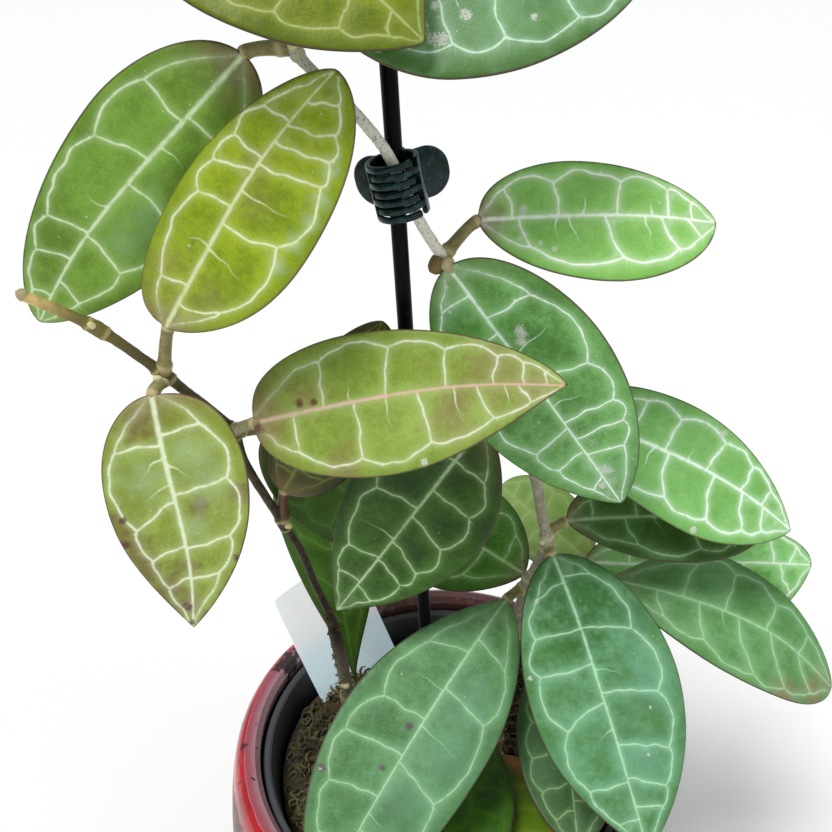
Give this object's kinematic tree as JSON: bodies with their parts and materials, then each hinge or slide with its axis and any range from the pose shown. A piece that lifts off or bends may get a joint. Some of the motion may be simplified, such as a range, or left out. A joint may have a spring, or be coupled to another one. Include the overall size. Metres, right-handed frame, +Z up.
{
  "type": "potted climbing plant",
  "caption": "Climbing houseplant with thick oval leaves netted by pale veins, clipped to a thin stake in a round glazed pot.",
  "frame": {"origin": "middle of the pot's underside", "axes": "+Z up along the pot axis, -Y towards the side the plant is seen from, +X to its right"},
  "size_m": [0.2506, 0.171, 0.4475],
  "materials": {
    "leaf_olive": "satin waxy leaf, yellowish olive",
    "leaf_bluish": "satin waxy leaf, bluish green",
    "leaf_green": "satin waxy leaf, mid green",
    "leaf_purple": "satin waxy leaf, olive with purple brown blotches",
    "leaf_pink": "satin waxy leaf, olive with a pink midrib",
    "leaf_fresh": "satin waxy leaf, fresh light green",
    "leaf_deep": "satin waxy leaf, deep green",
    "leaf_pale": "satin waxy leaf, pale olive",
    "leaf_red_edge": "satin waxy leaf, dark green with a red orange margin",
    "stem_pale": "matte grey beige bark",
    "stem_dark": "matte dark brown bark",
    "stake": "satin black plastic",
    "pot_glaze": "glossy red glaze, worn dark at the rim",
    "inner_pot": "black grower pot plastic",
    "label": "blank white plastic",
    "moss": "matte moss over potting mix",
    "clip_plastic": "satin black green plastic",
    "clip_steel": "bare steel wire"
  },
  "bodies": {
    "plant": {"leaf_top_front": "leaf_olive", "leaf_top_back": "leaf_bluish", "leaf_upper_left_back": "leaf_green", "leaf_upper_left_front": "leaf_olive", "leaf_left_hanging": "leaf_purple", "leaf_middle_front": "leaf_pink", "leaf_upper_right": "leaf_fresh", "leaf_middle_right": "leaf_bluish", "leaf_right_pale": "leaf_fresh", "leaf_right_dark": "leaf_deep", "leaf_right_tip": "leaf_fresh", "leaf_right_arching": "leaf_green", "leaf_front_right": "leaf_bluish", "leaf_front_left": "leaf_bluish", "leaf_lower_middle": "leaf_deep", "leaf_lower_behind": "leaf_deep", "leaf_back_pale": "leaf_pale", "leaf_back_rising": "leaf_green", "leaf_middle_behind": "leaf_purple", "leaf_low_green": "leaf_deep", "leaf_low_red": "leaf_red_edge", "leaf_low_grey": "leaf_green", "leaf_back_left": "leaf_green", "vine_right": "stem_pale", "vine_left": "stem_dark", "vine_back": "stem_pale", "stake": "stake", "pot": "pot_glaze", "inner_pot": "inner_pot", "label": "label", "moss": "moss", "clip_jaw_left": "clip_plastic", "clip_pin": "clip_steel", "clip_spring": "clip_steel"},
    "clip_right": {"clip_jaw_right": "clip_plastic"}
  },
  "joints": [
    {"name": "clip_hinge", "type": "hinge", "parent": "plant", "child": "clip_right", "pos_m": [-0.01535, 0.00517, 0.35714], "axis": [-0.2079, 0, 0.9781], "range_deg": [0, 32], "stiffness_Nm_per_rad": 0.02}
  ]
}
